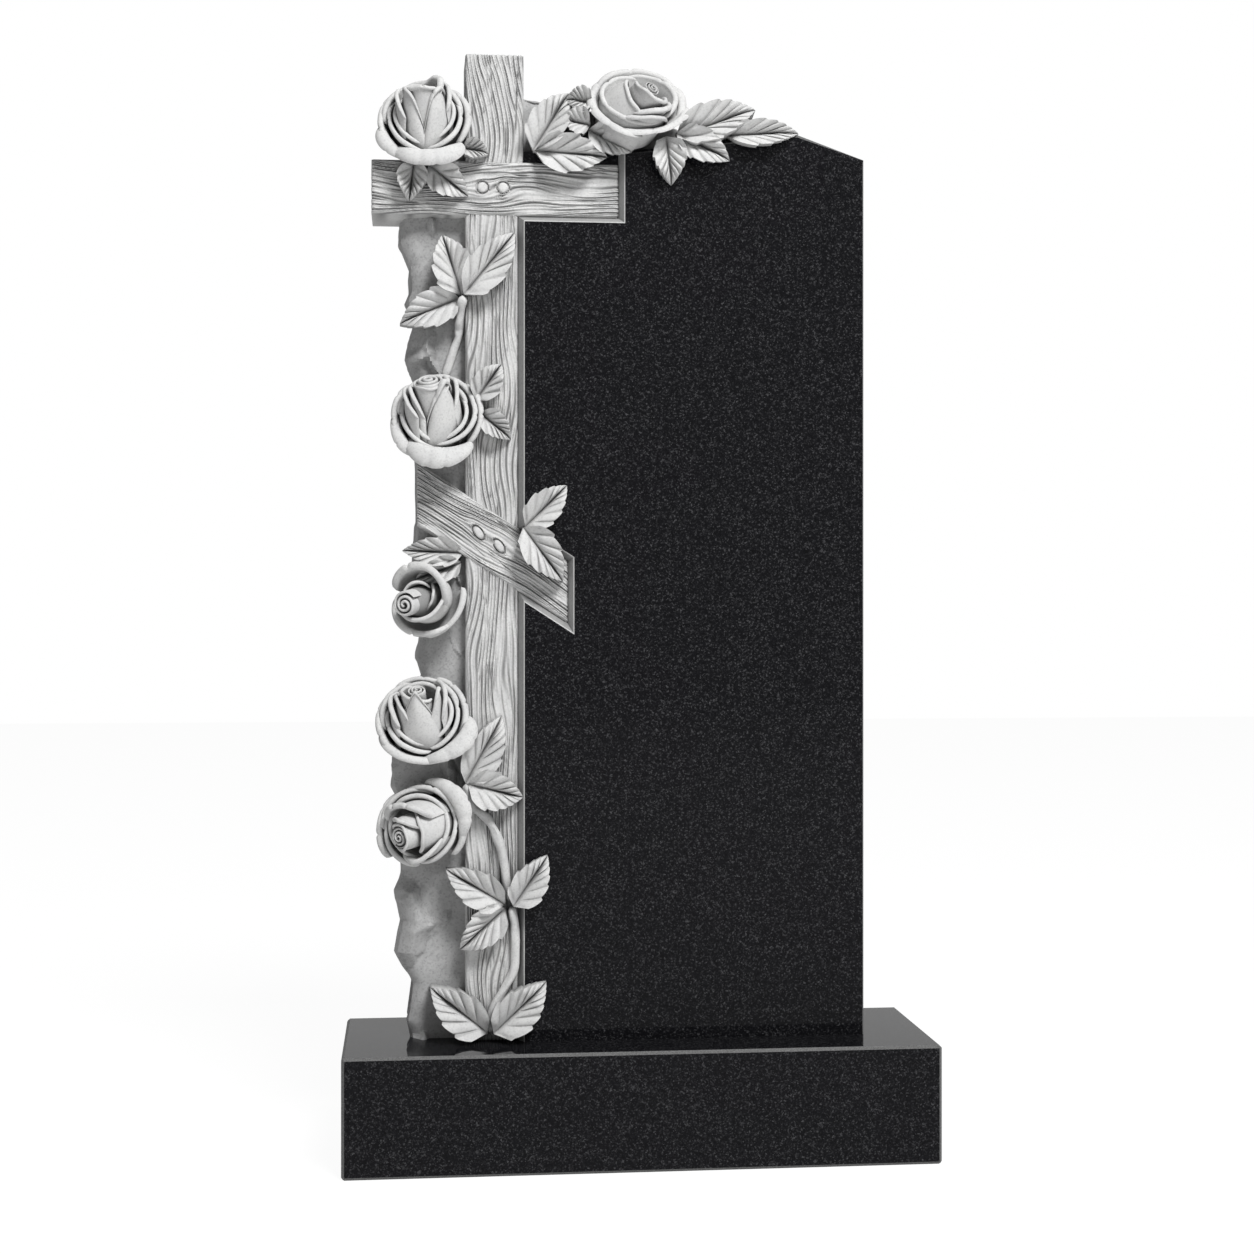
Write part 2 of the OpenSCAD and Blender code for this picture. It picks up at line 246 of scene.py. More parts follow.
def stele_piece(bm, name, finishes, degrees=40):
    """Turns a closed mesh in millimetres into a piece that stands for part of the stele."""
    bmesh.ops.recalc_face_normals(bm, faces=bm.faces)
    bmesh.ops.scale(bm, vec=(MM, MM, MM), verts=bm.verts)
    mesh = bpy.data.meshes.new(name)
    bm.to_mesh(mesh)
    bm.free()
    for finish in finishes:
        mesh.materials.append(finish)
    smooth_from_angle(mesh, degrees)
    piece = bpy.data.objects.new(name, mesh)
    bpy.context.scene.collection.objects.link(piece)
    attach(piece, "root")
    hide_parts("stele")


def honed_granite():
    stone = new_finish("honed black granite")
    flecks = stone.crystals(2.4) ** 4
    body = stone.blend(stone.clouds(18, 4).step(0.3, 0.7), grey(0.016, 1.05), grey(0.03, 1.05))
    stone.fill(stone.shader.inputs, {
        "Base Color": stone.blend(flecks, body, grey(0.1, 1.03)),
        "Roughness": stone.clouds(9, 3) * 0.2 + 0.42,
        "Specular IOR Level": 0.3,
        "Normal": stone.bump(stone.clouds(1.5, 2), 0.15, 0.4)})
    return stone.owner


HONED = honed_granite()


def new_verts(geom):
    return [part for part in geom if isinstance(part, bmesh.types.BMVert)]


def chamfer(bm, edges, width):
    """Takes edges off flat, and returns the new faces."""
    return bmesh.ops.bevel(bm, geom=edges, offset=width, affect="EDGES", segments=1, profile=0.5,
                           material=-1)["faces"]


def build_slab():
    """The slab's materials are, in order: polished, honed, sloping border, broken arris."""
    honed, sloping, broken = 1, 2, 3
    seam = BORDER * math.hypot(1, FOOT_SLOPE)
    inner = [
        (beam_right, crest_z), (beam_right, beam_under), (low_post_right, beam_under),
        (low_post_right, foot_line(low_post_right, 1)), (foot_right, foot_line(foot_right, 1)),
        (foot_right, foot_line(foot_right, -1)), (low_post_right, foot_line(low_post_right, -1)),
        (low_post_right, plinth_top)]
    wide_foot = foot_right + BORDER
    top_rise = BORDER * (peak[1] - crest_z) / (peak[0] - beam_right)
    outer = [
        (beam_right + BORDER, crest_z + top_rise), (beam_right + BORDER, beam_under - BORDER),
        (post_right, beam_under - BORDER), (post_right, foot_line(post_right, 1) + seam),
        (wide_foot, foot_line(wide_foot, 1) + seam), (wide_foot, foot_line(wide_foot, -1) - seam),
        (post_right, foot_line(post_right, -1) - seam), (post_right, plinth_top)]
    behind_cross = [
        (post_right, crest_z), (post_right - INSET, post_top - INSET),
        (post_left + INSET, post_top - INSET),
        (post_left + INSET, beam_top - INSET), (beam_left + INSET, beam_top - INSET),
        (beam_left + INSET, beam_under + INSET), (post_left + INSET, beam_under + INSET),
        (post_left + INSET, plinth_top)]
    bm = bmesh.new()

    def sunk(places):
        return [bm.verts.new((x, cross_y + INSET, z)) for x, z in places]

    seam_verts = sunk(inner)
    right = sunk([(slab_right, plinth_top), shoulder, peak])
    left = sunk(behind_cross)
    face = bm.faces.new(seam_verts + right)
    bm.faces.new(seam_verts[::-1] + left)
    raised = bmesh.ops.extrude_face_region(bm, geom=[face])["geom"]
    bmesh.ops.delete(bm, geom=[face], context="FACES_ONLY")
    front = {}
    for vert in new_verts(raised):
        front[(round(vert.co.x, 2), round(vert.co.z, 2))] = vert
        vert.co.y = face_y

    def corners(places):
        return [front[(round(x, 2), round(z, 2))] for x, z in places]

    for vert, (x, z) in zip(corners(inner), outer):
        vert.co.x = x
        vert.co.z = z
    rim = [e for e in bm.edges if e.is_boundary]
    pulled = bmesh.ops.extrude_edge_only(bm, edges=rim)["geom"]
    for vert in new_verts(pulled):
        vert.co.y = back_y
    back_rim = [e for e in bm.edges if e.is_boundary]
    bmesh.ops.holes_fill(bm, edges=back_rim, sides=0)
    loop = corners(inner)
    rim_line = [e for e in bm.edges if e.verts[0] in loop and e.verts[1] in loop]
    for face in chamfer(bm, rim_line, BORDER_ARRIS):
        face.material_index = broken
    ends = corners([shoulder, (slab_right, plinth_top)])
    chamfer(bm, [e for e in bm.edges if e.verts[0] in ends and e.verts[1] in ends], ARRIS)
    top = [e for e in bm.edges if all(abs(v.co.y - face_y) < 0.01 and v.co.z > shoulder[1] - 2
                                      and v.co.x > beam_right + BORDER - 1 for v in e.verts)
           and abs(e.verts[0].co.x - e.verts[1].co.x) > 5]
    chamfer(bm, top, CHAMFER)
    back = [e for e in bm.edges if all(abs(v.co.y - back_y) < 0.01 for v in e.verts)
            and min(v.co.z for v in e.verts) > plinth_top + 1]
    chamfer(bm, back, BACK_ARRIS)
    bm.normal_update()
    for face in bm.faces:
        if face.normal.y > 0.9:
            face.material_index = honed
        elif face.material_index == 0 and -0.62 < face.normal.y < -0.2:
            face.material_index = sloping
    return bm

# ======== cross =============================================================================
# The post, the level beam and the slanted beam are cut to look like three weathered boards. Each
# has grooves of wood grain, worn edges and ends, and two nail heads sit in each of the beams.

CARVED_LIGHT = 0.66
# The darkest colour, for grooves and hollows: partly bare unfrosted stone, partly painted shade.
CARVED_BARE_AND_SHADE = 0.07


def carved_granite(name, light, bare_and_shade):
    """Chiselled matt stone, pale and speckled; its hollows are darker, partly bare stone, partly painted
    shade.
    """
    stone = new_finish(name)
    # A mesh attribute that marks grooves and hollows; its darkening is partly painted shade and partly bare
    # stone.
    cut = stone.node("ShaderNodeAttribute", {"attribute_name": "cut"}, {}, "Fac")
    shade = stone.clouds(28, 3).step(0.25, 0.8)
    body = stone.blend(shade, grey(light * 0.9), grey(light * 1.06, 0.985))
    specks = stone.crystals(1.5) ** 3 * 0.35
    body = stone.blend(specks, body, grey(light * 0.55))
    # Painted shade from an occlusion node, which darkens the colour where the stone is hemmed in; it also
    # stands for bare dark stone there.
    hollow = stone.node("ShaderNodeAmbientOcclusion", {"samples": 6}, {"Distance": 14 * MM}, "AO")
    hollow_shade_and_bare_stone = (1 - hollow.step(0.1, 0.62)) * 0.8
    stone.fill(stone.shader.inputs, {
        "Base Color": stone.blend(cut.highest(hollow_shade_and_bare_stone), body, grey(bare_and_shade)),
        "Roughness": stone.clouds(5, 2) * 0.15 + 0.72,
        "Specular IOR Level": 0.3,
        "Normal": stone.bump(stone.clouds(1.3, 3) + stone.clouds(6, 2), 0.25, 0.5)})
    return stone.owner


CARVED = carved_granite("carved granite", CARVED_LIGHT, CARVED_BARE_AND_SHADE)
# The sloping border is the carved stone at about half its lightness: painted shade, as it faces away from
# the lamp.
SHADED_BORDER = carved_granite("sloping border", 0.34, 0.1)
BROKEN_ARRIS = carved_granite("broken arris", 0.55, 0.4)
stele_piece(build_slab(), "polished_slab", [POLISHED, HONED, SHADED_BORDER, BROKEN_ARRIS], 20)

NAIL_RADIUS = 6.0
NAIL_GAP = 21
GROOVE_WIDTH = 0.9
GROOVE_DEPTH = 3.0
WORN_EDGE = 3.2
WORN_END = 3.0
BEAM_PROUD = 1.5
BEHIND = 2


def grain_lines(along, across, gap, often, seed):
    """Groove from 0 to 1, and swell from 0 to 1 between the grooves, for one set of grain lines."""
    drift = 15 * noise.noise((along / 105, across / 42, seed))
    drift += 5 * noise.noise((along / 62, across / 20, seed + 5))
    line = (across + drift) / gap
    nearest = round(line)
    off = abs(line - nearest)
    strength = often + 1.4 * noise.noise((along / 60, nearest * 3.71, seed + 9))
    strength = min(1.0, max(0.0, strength))
    return strength * math.exp(-(off * gap / GROOVE_WIDTH) ** 2), strength * (1 - (2 * off) ** 2)


def grain_relief(along, across, seed, nails):
    """Height of the board's face and how dark its groove is, at a place in millimetres."""
    spread = across
    for nail_along, nail_across in nails:
        away = math.hypot(along - nail_along, across - nail_across)
        spread -= (across - nail_across) * 0.7 * math.exp(-(away / 11) ** 2)
    groove, crown = grain_lines(along, spread, 5.0, 0.8, seed)
    fine, bulge = grain_lines(along, spread, 4.3, 0.12, seed + 20)
    groove = max(groove, 0.85 * fine)
    relief = 2.1 * crown + 0.9 * bulge - GROOVE_DEPTH * groove
    relief += 0.7 * noise.noise((along / 30, across / 7, seed + 2))
    for nail_along, nail_across in nails:
        away = math.hypot(along - nail_along, across - nail_across)
        if away < NAIL_RADIUS + 1.6:
            ring = math.exp(-((away - NAIL_RADIUS) / 0.75) ** 2)
            head = 0.8 * (1 - (away / NAIL_RADIUS) ** 2) if away < NAIL_RADIUS else 0
            relief = 1.4 + head - 3.2 * ring
            groove = 0.85 * ring
    return relief, groove


def board(bm, to_face, length, width, cells, seed, nails=(), proud=0.0, bold=1.0, back=None):
    """One board: its face is a fine sheet, and its rim is pulled back into the stone.

    to_face turns (along, across) into (x, z). The sheet's first way runs along x. bold deepens the
    grain, and proud lifts the face out of the cross."""
    cut = bm.verts.layers.float["cut"]
    run_x, run_z, along_is_x = cells
    made = bmesh.ops.create_grid(bm, x_segments=run_x, y_segments=run_z, size=0.5)["verts"]
    own_faces = dict.fromkeys(f for v in made for f in v.link_faces)
    for vert in made:
        u, v = vert.co.x + 0.5, vert.co.y + 0.5
        along = length * (u if along_is_x else v)
        across = width * ((v if along_is_x else u) - 0.5)
        relief, groove = grain_relief(along, across, seed, nails)
        relief *= bold
        edge = min(1.0, (width / 2 - abs(across)) / WORN_EDGE)
        end = min(1.0, min(along, length - along) / WORN_END)
        relief = relief * edge - 2.4 * (1 - edge) ** 2 - 2.2 * (1 - end) ** 2
        shorter = 0.8 * groove * (1 - end)
        along += shorter if along < length / 2 else -shorter
        x, z = to_face(along, across)
        vert.co = (x, cross_y - proud - relief, z)
        # Grain grooves and nail rings are darkened: partly painted shade, partly bare stone.
        vert[cut] = 0.75 * groove
    rim = dict.fromkeys(e for f in own_faces for e in f.edges if e.is_boundary)
    pulled = bmesh.ops.extrude_edge_only(bm, edges=list(rim))["geom"]
    for vert in new_verts(pulled):
        vert.co.y = back
        vert[cut] = 0
    last = [e for e in pulled if isinstance(e, bmesh.types.BMEdge) and e.is_boundary]
    bmesh.ops.holes_fill(bm, edges=last, sides=0)


def new_carving():
    bm = bmesh.new()
    bm.verts.layers.float.new("cut")
    return bm


def build_post():
    """The post, in two lengths: the lower one gives up the border's width beside the slab."""
    bm = new_carving()
    low_width = POST_WIDTH - BORDER
    low_x = post_left + low_width / 2
    board(bm, lambda along, across: (low_x + across, plinth_top + along),
          beam_z - plinth_top, low_width, (98, 560, False), 3, back=back_y - BEHIND)
    board(bm, lambda along, across: (post_x + across, beam_z + along),
          post_top - beam_z, POST_WIDTH, (106, 200, False), 9, back=back_y - BEHIND)
    return bm


def build_level_beam():
    bm = new_carving()
    middle = BEAM_LENGTH / 2
    nails = [(middle + side * NAIL_GAP / 2 - 3, 1) for side in (-1, 1)]
    board(bm, lambda along, across: (beam_left + along, beam_z + across),
          BEAM_LENGTH, BEAM_HEIGHT, (200, 104, True), 17, nails, BEAM_PROUD, 1.15, back_y - BEHIND)
    return bm


def build_slanted_beam():
    bm = new_carving()
    middle = FOOT_SPAN / 2
    nails = [(middle + side * NAIL_GAP / 2 - 4, 1) for side in (-1, 1)]

    def to_face(along, across):
        x = foot_x - FOOT_SPAN / 2 + along
        return x, foot_line(x, 0) + across

    board(bm, to_face, FOOT_SPAN, FOOT_HEIGHT, (126, 112, True), 31, nails, BEAM_PROUD, 1.35, back=0)
    return bm


stele_piece(build_post(), "post", [CARVED], 50)
stele_piece(build_level_beam(), "level_beam", [CARVED], 50)
stele_piece(build_slanted_beam(), "slanted_beam", [CARVED], 50)

# ======== rough edge ========================================================================
# Left of the post, and along the top behind the roses, the block is left rock-pitched: a mason
# breaks the stone off in chips, which leaves facets that meet in ridges. Its back is sawn.

EDGE_SINK = 30
EDGE_RISE = 54
BACK_STEP = 0.8
LOWEST_CHIP = 3
HIGHEST_CHIP = 29
CREST_RISE = 66
CREST_END = 6
EDGE_OUTLINE = [  # height above the plinth, distance left of the post
    (0, 52), (16, 60), (55, 55), (88, 68), (120, 61), (150, 68), (163, 65), (215, 60), (275, 76), (320, 66),
    (370, 45), (387, 50), (413, 44), (500, 50), (600, 52), (660, 46), (695, 57), (728, 51), (754, 61),
    (765, 56), (790, 57), (815, 67), (834, 63), (905, 60), (950, 40)]


def facets(p, q, size, seed):
    """Height from -1 to 1 of a surface of flat facets that meet in ridges, at a place on the stone."""
    p, q = p / size, q / size
    p += 0.5 * noise.noise((p * 0.6, q * 0.6, seed))
    q += 0.5 * noise.noise((q * 0.6, p * 0.6, seed + 4))
    i, j = math.floor(p), math.floor(q)
    a, b = p - i, q - j
    low, right, up, far = [noise.cell((i + m + 0.5, j + n + 0.5, seed))
                           for m, n in ((0, 0), (1, 0), (0, 1), (1, 1))]
    if (i + j) % 2:
        if a + b < 1:
            return low + a * (right - low) + b * (up - low)
        return far + (1 - a) * (up - far) + (1 - b) * (right - far)
    if a > b:
        return low + a * (right - low) + b * (far - right)
    return low + b * (up - low) + a * (far - up)


def rough_granite():
    stone = new_finish("rock-pitched granite")
    # The grey is kept low partly as the pitched stone's own tone and partly as painted shade, for the shade
    # the cross casts on this sunk edge.
    body = stone.blend(stone.clouds(16, 5, 0.65).step(0.3, 0.72), grey(0.38), grey(0.475))
    specks = stone.crystals(1.8) ** 3 * 0.35
    stone.fill(stone.shader.inputs, {
        "Base Color": stone.blend(specks, body, grey(0.12)),
        "Roughness": stone.clouds(6, 2) * 0.15 + 0.75,
        "Specular IOR Level": 0.3,
        "Normal": stone.bump(stone.clouds(2.2, 4, 0.7), 0.35, 0.4)})
    return stone.owner


ROUGH = rough_granite()


def closed_rough(bm):
    """Closes a rough tube along its seam and over both ends, and gives its sawn back the honed finish."""
    bmesh.ops.remove_doubles(bm, verts=bm.verts, dist=0.01)
    bmesh.ops.holes_fill(bm, edges=[e for e in bm.edges if e.is_boundary], sides=0)
    for face in bm.faces:
        if all(vert.co.y > back_y - BACK_STEP - 0.01 for vert in face.verts):
            face.material_index = 1
    return bm


def build_rough_edge():
    """A tube that runs up: its back, its left side, its front, and a wall hidden by the post."""
    back_end, side_end, front_end = 0.08, 0.45, 0.96
    top = beam_top + EDGE_RISE
    bm = new_carving()
    made = bmesh.ops.create_grid(bm, x_segments=72, y_segments=440, size=0.5)["verts"]
    heights = [p[0] for p in EDGE_OUTLINE]
    widths = [p[1] for p in EDGE_OUTLINE]
    sawn_y = back_y - BACK_STEP
    front_y = face_y + EDGE_SINK
    turn = 8
    for vert in made:
        u, v = vert.co.x + 0.5, vert.co.y + 0.5
        z = plinth_top + v * (top - plinth_top)
        right = post_left + 3
        left = post_left - float(np.interp(z - plinth_top, heights, widths))
        if u < back_end:
            at, out = (right + (left - right) * u / back_end, sawn_y), (0, 0)
        elif u < side_end:
            share = (u - back_end) / (side_end - back_end)
            at, out = (left, sawn_y + (front_y + turn - sawn_y) * share), (-1, 0)
        elif u < front_end:
            share = (u - side_end) / (front_end - side_end)
            round_off = max(0.0, 1 - share / 0.25)
            at = (left + (right - left) * share, front_y + turn * round_off ** 2)
            out = (-0.5 * round_off, -1)
        else:
            share = (u - front_end) / (1 - front_end)
            at, out = (right, front_y + (sawn_y - front_y) * share), (0, 0)
        round_way = at[0] + at[1]
        rise = 15 * facets(round_way, z * 0.6 + round_way * 0.3, 25, 3.5)
        rise += 3 * facets(round_way, z * 0.8, 12, 8.5) - 1
        rise *= min(1.0, max(0.0, u - back_end) / 0.05)
        deeper = min(1.0, max(0.0, (u - side_end) / 0.1))
        forward = 8 + 6 * deeper + (1 + 1.4 * deeper) * (rise - 8)
        forward = min(HIGHEST_CHIP, max(LOWEST_CHIP, forward))
        vert.co = (at[0] + out[0] * rise * 0.55, at[1] + out[1] * forward, z)
    return closed_rough(bm)


def build_rough_crest():
    """A tube that runs right from the post: its front, its top, its back, and a hidden underside."""
    front_end, top_end, back_end = 0.45, 0.85, 0.95
    start = post_right - BORDER
    end = peak[0] - 2 * BORDER
    low_z = beam_z
    sawn_y = back_y - BACK_STEP
    front_y = face_y + EDGE_SINK - 4
    bm = new_carving()
    made = bmesh.ops.create_grid(bm, x_segments=110, y_segments=64, size=0.5)["verts"]
    for vert in made:
        u, v = vert.co.x + 0.5, vert.co.y + 0.5
        x = start + (end - start) * u
        top = crest_z + CREST_RISE * (1 - u) ** 0.78 + CREST_END * u
        if v < front_end:
            at, out = (front_y, low_z + (top - 7 - low_z) * v / front_end), (-1, 0)
        elif v < top_end:
            share = (v - front_end) / (top_end - front_end)
            at, out = (front_y + (sawn_y - front_y) * share, top - 7 * (1 - share) ** 2), (0, 1)
        elif v < back_end:
            at, out = (sawn_y, top + (low_z - top) * (v - top_end) / (back_end - top_end)), (0, 0)
        else:
            at, out = (sawn_y + (front_y - sawn_y) * (v - back_end) / (1 - back_end), low_z), (0, 0)
        rise = 4 * facets(x, at[0] + at[1], 24, 5.5) + 1.2 * facets(x, at[0] + at[1], 10, 2.5) - 0.5
        rise *= min(1.0, max(0.0, top_end - v) / 0.1) * min(1.0, v / 0.02)
        vert.co = (x, at[0] + out[0] * rise, at[1] + out[1] * rise * 0.7)
    return closed_rough(bm)


stele_piece(build_rough_edge(), "rough_edge", [ROUGH, HONED], 5)
stele_piece(build_rough_crest(), "rough_crest", [ROUGH, HONED], 8)

# ======== roses =============================================================================
# Six roses stand out of the block. Each petal is cut free at its lip, which rolls outwards, and
# the gaps between the petals are drilled deep, down to the bud in the middle.

ROSE_RADIUS = 47.5
WALL_ROWS = 18
LIP_ROWS = 11
BROAD_ROLL = 0.07
BROAD_TURN = 165
NARROW_TURN = 230


def petal_walls(size, foot, belly, lip, lean, curl, reach):
    """Middle line of a petal's wall as rows of radius and height, from its foot to its rolled lip.

    reach and curl hold one number for each place across the petal: the share of the height that
    the petal has there, and the radius of its roll."""
    t = np.linspace(0, 1, WALL_ROWS)[None, :]
    high = foot + (lip - foot) * reach[:, None]
    radius = 0.2 + (belly - 0.2) * np.sin(np.pi / 2 * np.minimum(1, t / 0.5)) ** 0.75
    radius = radius - lean * np.maximum(0, t - 0.5) ** 2 / 0.25
    height = foot + (high - foot) * t ** 1.15
    broad = np.max(curl) > BROAD_ROLL
    turn = np.linspace(0, math.radians(BROAD_TURN if broad else NARROW_TURN), LIP_ROWS)[None, 1:]
    roll_r = radius[:, -1:] + curl[:, None] * (1 - np.cos(turn)) * (1.25 if broad else 1)
    roll_h = height[:, -1:] + curl[:, None] * np.sin(turn) * 0.9
    radius = radius * np.ones_like(height)
    return size * np.hstack([radius, roll_r]), size * np.hstack([height, roll_h])


def petal(bm, to_stone, size, foot, seed, turn, half, belly, lip, lean, roll, fall, power, nicks):
    """One petal round a flower's own axis; turn 0 looks forwards and 90 to the right.

    It drops by the share fall towards its sides, and power says how late that drop comes."""
    cut = bm.verts.layers.float["cut"]
    across = 26 + int(half) // 5
    u = np.linspace(-1, 1, across + 1)
    reach = 1 - fall * np.abs(u) ** power
    reach += 0.012 * np.sin(5 * u + seed) + 0.008 * np.sin(11 * u + 2 * seed)
    rounded = (1 - u ** 2) ** 0.7 if roll > BROAD_ROLL else np.sqrt(np.clip(1 - np.abs(u) ** 8, 0, 1))
    curl = roll * (0.15 + 0.85 * rounded) * (1 + 0.14 * np.sin(3 * u + 3 * seed))
    for nick in nicks:
        dent = np.exp(-((u - nick) / 0.03) ** 2)
        reach -= 0.018 * dent
        curl *= 1 - (0.1 if roll > BROAD_ROLL else 0.35) * dent
    radius, height = petal_walls(size, foot, belly, lip, lean, curl, reach)
    count = radius.shape[1]
    step_r, step_h = np.gradient(radius, axis=1), np.gradient(height, axis=1)
    span = np.hypot(step_r, step_h) + 1e-9
    share = np.linspace(0, 1, count)[None, :]
    wall = np.maximum(size * (0.05 - 0.014 * share) * rounded[:, None] / 2, 0.02)
    out_r, out_h = step_h / span * wall, -step_r / span * wall
    ring_r = np.hstack([radius + out_r, (radius - out_r)[:, ::-1]])
    ring_h = np.hstack([height + out_h, (height - out_h)[:, ::-1]])
    ring_r = ring_r * (1 + 0.04 * u)[:, None] + size * 0.01 * np.sin(3 * u + seed)[:, None]
    depth = np.hstack([share, share[:, ::-1] * 0.85])
    angle = np.radians(turn + half * u)[:, None]
    x, y = ring_r * np.sin(angle), -ring_r * np.cos(angle)
    rows = 2 * count - 1
    made = bmesh.ops.create_grid(bm, x_segments=across, y_segments=rows, size=0.5)["verts"]
    for vert in made:
        i = round((vert.co.x + 0.5) * across)
        j = round((vert.co.y + 0.5) * rows)
        vert.co = to_stone @ Vector((x[i, j], y[i, j], ring_h[i, j]))
        # Petals darken towards their feet, low in the flower: painted shade, partly bare stone.
        vert[cut] = 0.8 * max(0.0, 1 - depth[0, j] / 0.4) ** 1.5


def heart(bm, to_stone, size, belly, foot, top):
    """Solid heart of a bud under its petals."""
    made = bmesh.ops.create_uvsphere(bm, u_segments=24, v_segments=14, radius=1)["verts"]
    cut = bm.verts.layers.float["cut"]
    for vert in made:
        wide = size * belly * 0.86
        vert.co = to_stone @ Vector((wide * vert.co.x, wide * vert.co.y,
                                     size * ((foot + top) / 2 + vert.co.z * (top - foot) / 2)))
        # The heart under the petals is darkened: painted shade, partly bare stone.
        vert[cut] = 0.6


def scroll(bm, to_stone, size, top, outer, seed):
    """The innermost petal, wound up so that its rim shows as a spiral."""
    cut = bm.verts.layers.float["cut"]
    section = [(1, -1.2), (1, -0.06), (0.8, -0.01), (0.3, 0.01), (-0.3, 0.01), (-0.8, -0.01), (-1, -0.06),
               (-1, -0.4)]
    across, rows = 120, len(section) - 1
    made = bmesh.ops.create_grid(bm, x_segments=across, y_segments=rows, size=0.5)["verts"]
    for vert in made:
        u = vert.co.x + 0.5
        side, level = section[round((vert.co.y + 0.5) * rows)]
        angle = math.radians(-990 * u) + seed
        wall = outer / 8.5 * min(1.0, 14 * (1 - u), 14 * u + 0.1)
        r = size * (0.02 + (outer - 0.02) * u + side * wall)
        z = size * (top - 0.05 * u ** 2 + level)
        vert.co = to_stone @ Vector((r * math.sin(angle), -r * math.cos(angle), z))
        # The scroll's lower inner wall is darkened: painted shade, partly bare stone.
        vert[cut] = 0.9 if level < -0.1 and side < 0 else 0.0


# Rows of petals: turn, half, belly, lip, lean, roll, fall, power, nicks
CUP = [  # concentric bowl round a bud, seen almost from above; turn 0 is its lowest side
    (78, 78, 0.60, 0.40, 0.0, 0.030, 0.22, 2.0, ()),
    (-80, 76, 0.61, 0.42, 0.0, 0.030, 0.22, 2.0, ()),
    (176, 70, 0.64, 0.45, 0.0, 0.035, 0.15, 2.0, ()),
    (62, 66, 0.73, 0.34, -0.02, 0.035, 0.2, 2.2, (0.4,)),
    (-66, 64, 0.74, 0.32, -0.02, 0.035, 0.2, 2.2, (-0.3,)),
    (150, 60, 0.78, 0.32, -0.02, 0.045, 0.16, 2.2, (0.2,)),
    (-142, 56, 0.78, 0.30, -0.02, 0.045, 0.16, 2.2, ()),
    (98, 50, 0.86, 0.20, -0.04, 0.055, 0.2, 2.4, (0.5, -0.1)),
    (-96, 48, 0.87, 0.18, -0.04, 0.055, 0.2, 2.4, (0.3, -0.4))]
LOW_LIP = [
    (-58, 38, 0.84, 0.14, -0.05, 0.110, 0.3, 2.2, (0.2,)),
    (2, 52, 0.80, 0.28, -0.06, 0.185, 0.3, 2.0, (-0.2, 0.1))]
CRUMPLED_LIP = [
    (-34, 56, 0.86, 0.16, -0.06, 0.069, 0.3, 2.2, ()),
    (30, 48, 0.84, 0.28, -0.06, 0.150, 0.3, 2.0, (-0.3, 0.05, 0.35))]
SIDE_LIP = [(124, 54, 0.84, 0.36, -0.05, 0.130, 0.25, 2.2, (-0.45, -0.1, 0.3))]
SPIRAL_BUD = [  # a bud that stands up in its cup, with its scroll showing
    (-30, 150, 0.31, 0.93, 0.02, 0.012, 0.06, 2.0, ()),
    (96, 74, 0.37, 0.96, 0.03, 0.030, 0.3, 2.0, ()),
    (-88, 62, 0.44, 0.88, 0.06, 0.022, 0.35, 2.0, ()),
    (48, 88, 0.47, 0.98, 0.16, 0.045, 0.62, 1.7, (-0.42,)),
    (-100, 62, 0.54, 0.78, 0.05, 0.022, 0.3, 2.0, ()),
    (118, 60, 0.55, 0.84, 0.05, 0.025, 0.3, 2.0, ())]
FOLDED_BUD = [  # a bud whose petals fold over each other, with a seam between them
    (-10, 100, 0.35, 0.90, 0.06, 0.025, 0.12, 2.0, (0.1,)),
    (-66, 80, 0.45, 0.82, 0.10, 0.022, 0.86, 2.6, ()),
    (120, 84, 0.46, 0.92, 0.16, 0.050, 0.2, 2.0, ()),
    (56, 74, 0.49, 0.84, 0.14, 0.040, 0.88, 2.6, (-0.35,)),
    (-104, 60, 0.55, 0.72, 0.05, 0.025, 0.3, 2.0, ()),
    (122, 60, 0.56, 0.80, 0.05, 0.030, 0.3, 2.0, ())]
POINTED_BUD = [  # a bud with one broad pointed petal in front
    (-60, 120, 0.32, 0.84, 0.02, 0.020, 0.1, 2.0, ()),
    (78, 62, 0.46, 0.88, 0.06, 0.022, 0.5, 1.4, ()),
    (-82, 60, 0.46, 0.72, 0.05, 0.022, 0.35, 2.0, ()),
    (-8, 84, 0.50, 1.02, 0.16, 0.020, 0.8, 1.3, (-0.5,)),
    (112, 58, 0.58, 0.80, 0.05, 0.028, 0.35, 1.8, ()),
    (-108, 58, 0.56, 0.66, 0.05, 0.028, 0.3, 2.0, ())]
LYING_BUD = [  # a bud that lies over to one side, with its scroll at the end
    (-10, 150, 0.27, 0.86, 0.02, 0.012, 0.1, 2.0, ()),
    (70, 80, 0.40, 0.84, 0.06, 0.025, 0.4, 2.0, ()),
    (-8, 88, 0.50, 0.58, 0.10, 0.022, 0.25, 2.4, ()),
    (92, 70, 0.58, 0.62, 0.02, 0.050, 0.25, 2.4, (-0.3, 0.15)),
    (-92, 66, 0.56, 0.56, 0.04, 0.030, 0.3, 2.2, ())]
SMALL_BUD = [  # a young rose that looks sideways out of its calyx
    (160, 100, 0.36, 0.62, 0.02, 0.020, 0.2, 2.0, ()),
    (10, 70, 0.42, 0.52, 0.04, 0.020, 0.3, 2.0, ()),
    (-60, 96, 0.60, 0.60, 0.02, 0.035, 0.3, 2.2, ()),
    (92, 92, 0.68, 0.66, 0.02, 0.070, 0.3, 2.4, (0.4,)),
    (-96, 70, 0.84, 0.10, 0.0, 0.060, 0.3, 2.2, (0.1,)),
    (-20, 60, 0.86, -0.10, 0.0, 0.060, 0.35, 2.2, ())]
